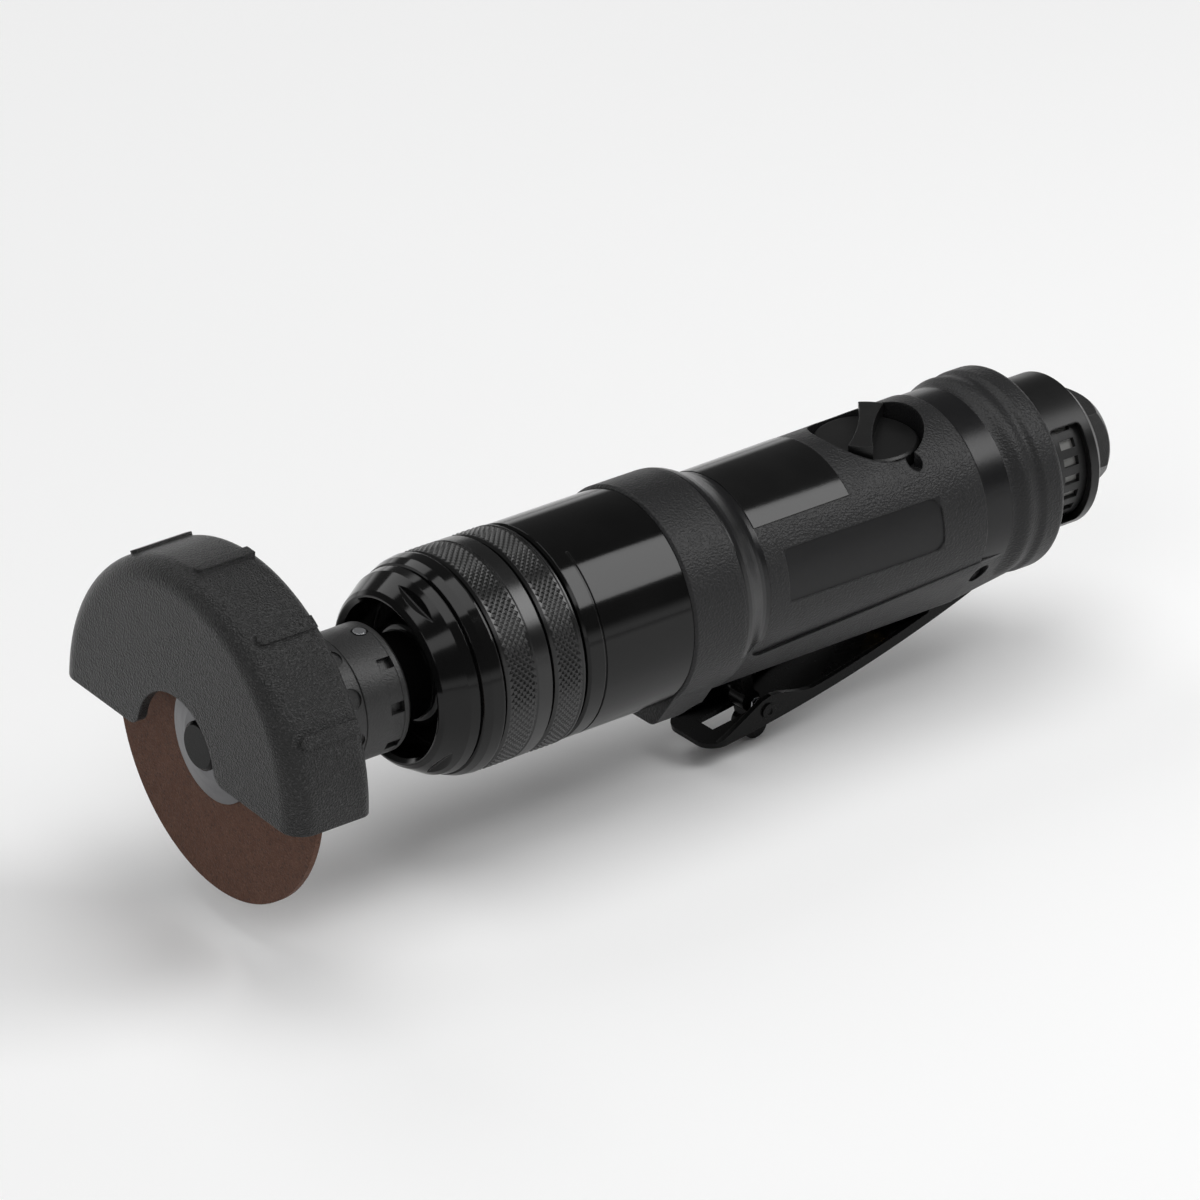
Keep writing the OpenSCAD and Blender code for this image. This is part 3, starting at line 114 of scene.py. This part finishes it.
def stretched_position(tree, stretch):
    """Place on the object, scaled along each axis."""
    made = add(tree, "ShaderNodeMapping", {"Vector": position(tree), "Scale": stretch})
    return made.outputs["Vector"]


def warped_position(tree, scale, reach, stretch):
    """Place on the object, stretched and pushed about by up to the reach in metres."""
    place = stretched_position(tree, stretch)
    pushes = add(tree, "ShaderNodeTexNoise", {"Vector": place, "Scale": scale, "Detail": 1.0})
    scaled = add(tree, "ShaderNodeVectorMath", {0: pushes.outputs["Color"], 1: (reach, reach, reach)},
                 operation="MULTIPLY")
    return add(tree, "ShaderNodeVectorMath", {0: place, 1: scaled.outputs["Vector"]}).outputs["Vector"]


def noise(tree, scale, detail=3.0, stretch=(1, 1, 1)):
    """Noise from 0 to 1, with a feature size of about 1/scale metres."""
    made = add(tree, "ShaderNodeTexNoise", {"Vector": stretched_position(tree, stretch), "Scale": scale,
                                            "Detail": detail, "Roughness": 0.6})
    return made.outputs["Fac"]


def cells(tree, scale, place, feature="F1"):
    """Distance pattern of cells of about 1/scale metres."""
    made = add(tree, "ShaderNodeTexVoronoi", {"Vector": place, "Scale": scale}, feature=feature)
    return made.outputs["Distance"]


def rescale(tree, value, low, high, from_low=0.0, from_high=1.0):
    """The value rescaled from one span to another."""
    made = add(tree, "ShaderNodeMapRange", {"Value": value, "From Min": from_low, "From Max": from_high,
                                            "To Min": low, "To Max": high})
    return made.outputs["Result"]


def patches(tree, scale, low, high):
    """Soft patches of noise: 0 where it is under the low value, 1 where it is over the high one."""
    return rescale(tree, noise(tree, scale), 0.0, 1.0, low, high)


def compute(tree, operation, a, b):
    """The result of a math operation on two values."""
    return add(tree, "ShaderNodeMath", {0: a, 1: b}, operation=operation).outputs["Value"]


def between(tree, axis, low, high):
    """1 between two places along an axis in metres, 0 outside."""
    place = add(tree, "ShaderNodeSeparateXYZ", {"Vector": position(tree)}).outputs[axis]
    after = compute(tree, "GREATER_THAN", place, low)
    before = compute(tree, "LESS_THAN", place, high)
    return compute(tree, "MULTIPLY", after, before)


def grey(tone):
    """A neutral colour."""
    return (tone, tone, tone)


def darker(colour, share):
    """A share of a colour."""
    return tuple(share * channel for channel in colour)


def mix_colours(tree, share, a, b):
    """A colour between a and b."""
    made = add(tree, "ShaderNodeMix", data_type="RGBA")
    tree.links.new(share, made.inputs["Factor"])
    for key, value in (("A", a), ("B", b)):
        socket = next(s for s in made.inputs if s.name == key and s.type == "RGBA")
        if isinstance(value, bpy.types.NodeSocket):
            tree.links.new(value, socket)
        else:
            socket.default_value = (*value, 1.0)
    return next(s for s in made.outputs if s.type == "RGBA")


def soft_edges(tree, radius):
    """Normals that round each edge by the radius."""
    return add(tree, "ShaderNodeBevel", {"Radius": radius}, samples=4).outputs["Normal"]


def edge_mask(tree, radius):
    """1 along worn edges and 0 on open faces, broken up by noise."""
    true_normal = add(tree, "ShaderNodeNewGeometry").outputs["Normal"]
    made = add(tree, "ShaderNodeVectorMath", {0: soft_edges(tree, radius), 1: true_normal},
               operation="DOT_PRODUCT")
    edge = rescale(tree, made.outputs["Value"], 1.0, 0.0, from_low=0.80, from_high=0.97)
    return compute(tree, "MULTIPLY", edge, patches(tree, 700, 0.45, 0.7))


def bump(tree, height, depth, base):
    """Normals raised by the height pattern, on top of the base normals."""
    made = add(tree, "ShaderNodeBump", {"Height": height, "Distance": depth, "Strength": 1.0,
                                        "Normal": base})
    return made.outputs["Normal"]


# Materials, one function each

def smooth_areas(tree):
    """Two masks on the grip: its smooth bands, and its bare panel."""
    front = HOUSING_LOW.x
    bands = compute(tree, "MAXIMUM",
                    between(tree, "X", front + WAIST_BAND[0], front + WAIST_BAND[1]),
                    between(tree, "X", front + REAR_BAND[0], front + REAR_BAND[1]))
    bands = compute(tree, "MULTIPLY", bands, between(tree, "Z", BANDS_BOTTOM, HOUSING_HIGH.z))
    panel = compute(tree, "MULTIPLY",
                    between(tree, "X", front + PANEL_LENGTH[0], front + PANEL_LENGTH[1]),
                    between(tree, "Z", *PANEL_HEIGHT))
    panel = compute(tree, "MULTIPLY", panel, between(tree, "Y", HOUSING_LOW.y, 0.0))
    return bands, panel


def grip_black():
    """Moulded grip: leather grain, gloss bands at the waist and before the rear flange, a smooth panel."""
    material, tree, shader = new_material("grip_black")
    bands, panel = smooth_areas(tree)
    smooth = compute(tree, "MAXIMUM", bands, panel)
    place = warped_position(tree, scale=1000, reach=0.5 * MM, stretch=(0.85, 1.0, 1.0))
    leather = cells(tree, 2200, place, "SMOOTH_F1")
    grain = compute(tree, "ADD", leather, rescale(tree, noise(tree, 3000), 0.0, 0.35))
    grain = compute(tree, "MULTIPLY", grain, rescale(tree, smooth, 1.0, 0.04))
    dust = patches(tree, 60, 0.35, 0.75)
    colour = mix_colours(tree, dust, (0.0125, 0.0125, 0.013), (0.016, 0.016, 0.0165))
    colour = mix_colours(tree, smooth, colour, (0.007, 0.007, 0.0075))
    colour = mix_colours(tree, edge_mask(tree, 0.5 * MM), colour, (0.035, 0.035, 0.036))
    grained_rough = rescale(tree, noise(tree, 220), 0.36, 0.46)
    rough = compute(tree, "SUBTRACT", grained_rough, rescale(tree, bands, 0.0, 0.16))
    set_inputs(tree, shader, Base_Color=colour, Roughness=rough, Specular_IOR_Level=0.28,
               Normal=bump(tree, grain, 0.15 * MM, soft_edges(tree, 0.5 * MM)))
    return material


def black_coating(name, tone, rough, specular, grain_scale, grain_depth, edge_tone, rounding):
    """Black finish on metal, with grain, uneven sheen and slightly worn edges."""
    material, tree, shader = new_material(name)
    colour = mix_colours(tree, patches(tree, 90, 0.35, 0.7), grey(0.85 * tone), grey(1.2 * tone))
    colour = mix_colours(tree, edge_mask(tree, rounding), colour, grey(edge_tone))
    uneven_rough = rescale(tree, noise(tree, 160), rough * 0.85, rough * 1.2)
    grain = noise(tree, grain_scale)
    set_inputs(tree, shader, Base_Color=colour, Roughness=uneven_rough, Specular_IOR_Level=specular,
               Normal=bump(tree, grain, grain_depth, soft_edges(tree, rounding)))
    return material


def gloss_black():
    """Gloss coat on the barrel and the nose, with faint polishing waves."""
    return black_coating("gloss_black", tone=0.003, rough=0.10, specular=0.28, grain_scale=320,
                         grain_depth=0.004 * MM, edge_tone=0.012, rounding=0.3 * MM)


def plate_black():
    """Gloss plate on the grip, left bare."""
    return black_coating("plate_black", tone=0.006, rough=0.12, specular=0.30, grain_scale=260,
                         grain_depth=0.004 * MM, edge_tone=0.02, rounding=0.15 * MM)


def ring_black():
    """Blackened knurled rings."""
    return black_coating("ring_black", tone=0.006, rough=0.22, specular=0.50, grain_scale=1500,
                         grain_depth=0.004 * MM, edge_tone=0.03, rounding=0.12 * MM)


def collar_black():
    """Satin blackened steel with a fine cast skin."""
    return black_coating("collar_black", tone=0.020, rough=0.34, specular=0.40, grain_scale=1900,
                         grain_depth=0.13 * MM, edge_tone=0.04, rounding=0.3 * MM)


def lever_black():
    """Blackened pressed sheet."""
    return black_coating("lever_black", tone=0.003, rough=0.26, specular=0.14, grain_scale=1200,
                         grain_depth=0.010 * MM, edge_tone=0.03, rounding=0.25 * MM)


def knob_black():
    """Satin moulded knob and sleeve."""
    return black_coating("knob_black", tone=0.006, rough=0.32, specular=0.30, grain_scale=1600,
                         grain_depth=0.010 * MM, edge_tone=0.03, rounding=0.45 * MM)


def guard_black():
    """Cast guard with a fine sand texture and paler grains."""
    material, tree, shader = new_material("guard_black")
    sand = compute(tree, "ADD", cells(tree, 2300, position(tree)), noise(tree, 2000))
    colour = mix_colours(tree, patches(tree, 70, 0.35, 0.7), grey(0.008), grey(0.012))
    colour = mix_colours(tree, patches(tree, 1900, 0.55, 0.68), colour, grey(0.040))
    colour = mix_colours(tree, edge_mask(tree, 0.6 * MM), colour, grey(0.035))
    set_inputs(tree, shader, Base_Color=colour, Roughness=rescale(tree, noise(tree, 300), 0.25, 0.34),
               Specular_IOR_Level=0.32, Normal=bump(tree, sand, 0.20 * MM, soft_edges(tree, 0.8 * MM)))
    return material


def abrasive():
    """Resin bonded disc: reddish brown grit with a few dark and pale specks."""
    material, tree, shader = new_material("abrasive")
    grit = add(tree, "ShaderNodeTexVoronoi", {"Vector": position(tree), "Scale": 2100.0})
    speck = add(tree, "ShaderNodeSeparateColor", {"Color": grit.outputs["Color"]}).outputs["Red"]
    colour = mix_colours(tree, patches(tree, 420, 0.3, 0.7), (0.090, 0.045, 0.031), (0.114, 0.058, 0.040))
    pale = rescale(tree, speck, 0.0, 0.5, from_low=0.8, from_high=1.0)
    dark = rescale(tree, speck, 0.6, 0.0, from_low=0.0, from_high=0.14)
    colour = mix_colours(tree, pale, colour, (0.170, 0.100, 0.075))
    colour = mix_colours(tree, dark, colour, (0.036, 0.019, 0.014))
    height = compute(tree, "ADD", grit.outputs["Distance"], noise(tree, 1600))
    set_inputs(tree, shader, Base_Color=colour, Roughness=rescale(tree, speck, 0.62, 0.85),
               Specular_IOR_Level=0.15, Normal=bump(tree, height, 0.12 * MM, soft_edges(tree, 0.3 * MM)))
    return material


def metal(name, colour, rough, turned):
    """Bare metal with tool marks round the axis (turned) or along it, and a little staining."""
    material, tree, shader = new_material(name)
    stretch = (1.0, 0.03, 0.03) if turned else (0.03, 1.0, 1.0)
    marks = noise(tree, 4200, detail=2.0, stretch=stretch)
    stain = rescale(tree, noise(tree, 110), 0.0, 0.5, from_low=0.5, from_high=0.8)
    tint = mix_colours(tree, stain, colour, darker(colour, 0.6))
    set_inputs(tree, shader, Base_Color=tint, Metallic=1.0,
               Roughness=rescale(tree, marks, rough * 0.7, rough * 1.4),
               Normal=bump(tree, marks, 0.012 * MM, soft_edges(tree, 0.2 * MM)))
    return material


def soft_matter(name, colour, rough, grain_scale):
    """Rubber, fibre and plain mouldings: fine grain and uneven colour."""
    material, tree, shader = new_material(name)
    tint = mix_colours(tree, patches(tree, 150, 0.3, 0.7), darker(colour, 0.75), colour)
    set_inputs(tree, shader, Base_Color=tint,
               Roughness=rescale(tree, noise(tree, 400), rough * 0.85, rough * 1.1),
               Normal=bump(tree, noise(tree, grain_scale), 0.04 * MM, soft_edges(tree, 0.25 * MM)))
    return material


MATERIALS = {
    "grip_black": grip_black(),
    "plate_black": plate_black(),
    "gloss_black": gloss_black(),
    "ring_black": ring_black(),
    "collar_black": collar_black(),
    "guard_black": guard_black(),
    "lever_black": lever_black(),
    "knob_black": knob_black(),
    "abrasive": abrasive(),
    "pin_steel": metal("pin_steel", (0.72, 0.73, 0.75), rough=0.22, turned=False),
    "flange_steel": metal("flange_steel", (0.15, 0.15, 0.155), rough=0.34, turned=True),
    "shaft_steel": metal("shaft_steel", (0.42, 0.43, 0.45), rough=0.30, turned=True),
    "bearing_steel": metal("bearing_steel", (0.66, 0.67, 0.69), rough=0.16, turned=True),
    "motor_iron": metal("motor_iron", (0.25, 0.26, 0.27), rough=0.45, turned=True),
    "plate_alloy": metal("plate_alloy", (0.62, 0.63, 0.64), rough=0.35, turned=True),
    "valve_brass": metal("valve_brass", (0.52, 0.38, 0.15), rough=0.30, turned=False),
    "spring_steel": metal("spring_steel", (0.48, 0.49, 0.51), rough=0.26, turned=False),
    "vane_fibre": soft_matter("vane_fibre", (0.20, 0.11, 0.05), rough=0.6, grain_scale=900),
    "seal_rubber": soft_matter("seal_rubber", (0.02, 0.02, 0.02), rough=0.7, grain_scale=1200),
    "muffler_black": soft_matter("muffler_black", (0.008, 0.008, 0.008), rough=0.5, grain_scale=800),
    "felt_pale": soft_matter("felt_pale", (0.30, 0.30, 0.29), rough=0.9, grain_scale=1500),
}
SLOT_OF = {s["node"]: s["material_slot"] for s in frame["record"]["subparts"]}
for name, node in frame["nodes"].items():
    node.data.materials.clear()
    node.data.materials.append(MATERIALS[SLOT_OF[name]])


# Fine forms that ride on the solids

def add_piece(name, points, faces, body, slot, smooth=False):
    """A mesh piece that rides on a body and takes a slot's material."""
    mesh = bpy.data.meshes.new(name)
    mesh.from_pydata(points, [], faces)
    mesh.validate()
    mesh.materials.append(MATERIALS[slot])
    for face in mesh.polygons:
        face.use_smooth = smooth
    made = bpy.data.objects.new(name, mesh)
    bpy.context.scene.collection.objects.link(made)
    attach(made, body)
    return made


def round_point(x, radius, angle):
    """A point about the tool's axis."""
    return (x, radius * math.cos(angle), radius * math.sin(angle))


RING_EDGE = 0.6 * MM
FRONT_KNURL_END = 8.1 * MM
# The rings are turned down under the knurl, so its peaks end close to the smooth stretch
KNURL_SINK = 0.27 * MM
KNURL_RADIUS = FRONT_RING_HIGH.y - KNURL_SINK
KNURL_RISE = 0.36 * MM
KNURL_BACKING = 0.15 * MM
KNURL_AROUND = 96
KNURL_ROWS = 9


def knurl(name, start, end, body):
    """A closed band of diamond knurling: one low pyramid per diamond, in rows set half a step apart."""
    turn = 2 * math.pi / KNURL_AROUND
    half = (end - start) / KNURL_ROWS
    points = [round_point(start + line * half, KNURL_RADIUS, (i + 0.5 * (line % 2)) * turn)
              for line in range(KNURL_ROWS + 1) for i in range(KNURL_AROUND)]
    faces = []
    for row in range(KNURL_ROWS - 1):
        shift = row % 2
        x = start + (row + 1) * half
        for i in range(KNURL_AROUND):
            corners = [(row, i), (row + 1, i + shift), (row + 2, i), (row + 1, i + shift - 1)]
            corners = [line * KNURL_AROUND + place % KNURL_AROUND for line, place in corners]
            peak = len(points)
            points.append(round_point(x, KNURL_RADIUS + KNURL_RISE, (i + 0.5 * shift) * turn))
            faces += [(corners[k], corners[(k + 1) % 4], peak) for k in range(4)]
    made = add_piece(name, points, faces, body, "ring_black")
    backing = made.modifiers.new("backing", "SOLIDIFY")
    backing.thickness = KNURL_BACKING


def inlet_thread():
    """Pipe thread inside the inlet: a closed ridge along a helix, in from the mouth."""
    radius = INLET["dims"]["r_mm"] * MM
    pitch = 1.41 * MM
    lead_in = 1.2 * MM
    root = -0.05 * MM
    crest = 0.55 * MM
    ridge = ((-0.45 * pitch, root), (-0.08 * pitch, crest), (0.08 * pitch, crest), (0.45 * pitch, root))
    turns = 8
    steps = 36
    points = []
    faces = [(3, 2, 1, 0)]
    for i in range(turns * steps + 1):
        x = -lead_in - pitch * i / steps
        angle = 2 * math.pi * i / steps
        points += [round_point(x + along, radius - inward, angle) for along, inward in ridge]
    corners = len(ridge)
    last = len(points) - corners
    for first in range(0, last, corners):
        following = first + corners
        for side in range(corners):
            after = (side + 1) % corners
            faces.append((first + side, first + after, following + after, following + side))
    faces.append((last, last + 1, last + 2, last + 3))
    add_piece("inlet_thread", points, faces, "tool_body", "collar_black", smooth=True)


knurl("front_knurl", FRONT_RING_LOW.x + RING_EDGE, FRONT_RING_LOW.x + FRONT_KNURL_END, "front_ring")
knurl("rear_knurl", REAR_RING_LOW.x + RING_EDGE, REAR_RING_HIGH.x - 2 * RING_EDGE, "rear_ring")
inlet_thread()


# Studio: pale floor, soft light and the photograph's camera

VIEW_AZIMUTH = -37.75
VIEW_ELEVATION = 27.03
AIM = Vector((-0.1448, 0.0, 0.0013))
CAMERA_DISTANCE = 1.824
LENS = 240
SENSOR = 36
CLIP_END = 20
FLOOR_REACH = 6.0
FLOOR_CLEARANCE = 0.5 * MM
# The sky's strength at the horizon and overhead, and the heights between which it changes
HORIZON_STRENGTH = 1.0
OVERHEAD_STRENGTH = 0.12
SKY_FADE = (0.04, 0.20)


def facing(azimuth, elevation):
    """Right, up and back directions of someone who looks at the tool from that side."""
    turn = math.radians(azimuth)
    tilt = math.radians(elevation)
    right = Vector((math.cos(turn), math.sin(turn), 0))
    back = Vector((math.sin(turn) * math.cos(tilt), -math.cos(turn) * math.cos(tilt), math.sin(tilt)))
    return right, back.cross(right), back


def aim_matrix(distance, azimuth, elevation):
    """A matrix at a distance from the tool on that side, turned to look at it."""
    right, up, back = facing(azimuth, elevation)
    turned = Matrix((right, up, back)).transposed().to_4x4()
    return Matrix.Translation(AIM + distance * back) @ turned


def add_camera():
    """The photograph's camera, for a square picture."""
    data = bpy.data.cameras.new("camera")
    data.lens = LENS
    data.sensor_width = SENSOR
    data.clip_end = CLIP_END
    made = bpy.data.objects.new("camera", data)
    bpy.context.scene.collection.objects.link(made)
    made.matrix_world = aim_matrix(CAMERA_DISTANCE, VIEW_AZIMUTH, VIEW_ELEVATION)
    bpy.context.scene.camera = made


def add_light(name, azimuth, elevation, distance, size, power):
    """A square soft box that faces the tool."""
    data = bpy.data.lights.new(name, "AREA")
    data.shape = "SQUARE"
    data.size = size
    data.energy = power
    made = bpy.data.objects.new(name, data)
    bpy.context.scene.collection.objects.link(made)
    made.matrix_world = aim_matrix(distance, azimuth, elevation)


def add_overhead(strength, width):
    """Even light from straight above, which the round pieces don't mirror to the camera."""
    data = bpy.data.lights.new("overhead", "SUN")
    data.energy = strength
    data.angle = math.radians(width)
    made = bpy.data.objects.new("overhead", data)
    bpy.context.scene.collection.objects.link(made)


def add_floor():
    """A wide pale floor under the tool, low enough to clear the guard turned downwards."""
    material, tree, shader = new_material("floor")
    tint = mix_colours(tree, noise(tree, 3), grey(0.95), grey(0.97))
    set_inputs(tree, shader, Base_Color=tint, Roughness=0.8, Specular_IOR_Level=0.1)
    level = min(cad_box[0][2], -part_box("guard")[1].z) - FLOOR_CLEARANCE
    corners = [(x * FLOOR_REACH, y * FLOOR_REACH, level) for x, y in ((-1, -1), (1, -1), (1, 1), (-1, 1))]
    mesh = bpy.data.meshes.new("floor")
    mesh.from_pydata(corners, [], [(0, 1, 2, 3)])
    mesh.materials.append(material)
    made = bpy.data.objects.new("floor", mesh)
    bpy.context.scene.collection.objects.link(made)


def add_world():
    """Sky of the studio: white round the horizon and dark overhead."""
    world = bpy.data.worlds.new("studio")
    world.use_nodes = True
    tree = world.node_tree
    direction = add(tree, "ShaderNodeTexCoord").outputs["Generated"]
    height = add(tree, "ShaderNodeSeparateXYZ", {"Vector": direction}).outputs["Z"]
    strength = add(tree, "ShaderNodeMapRange",
                   {"Value": height, "From Min": SKY_FADE[0], "From Max": SKY_FADE[1],
                    "To Min": HORIZON_STRENGTH, "To Max": OVERHEAD_STRENGTH},
                   interpolation_type="SMOOTHSTEP")
    background = tree.nodes["Background"]
    background.inputs["Color"].default_value = (1, 1, 1, 1)
    tree.links.new(strength.outputs["Result"], background.inputs["Strength"])
    bpy.context.scene.world = world


add_camera()
add_world()
add_floor()
# The key stands where the round pieces mirror it to the camera, as a band along them
add_light("key", azimuth=50, elevation=45, distance=1.1, size=0.55, power=4.9)
add_light("left", azimuth=-58, elevation=36, distance=1.2, size=0.6, power=2.2)
add_light("rear", azimuth=180, elevation=40, distance=1.2, size=0.6, power=2.0)
add_overhead(strength=1.3, width=50)
bpy.context.scene.view_settings.view_transform = "Standard"
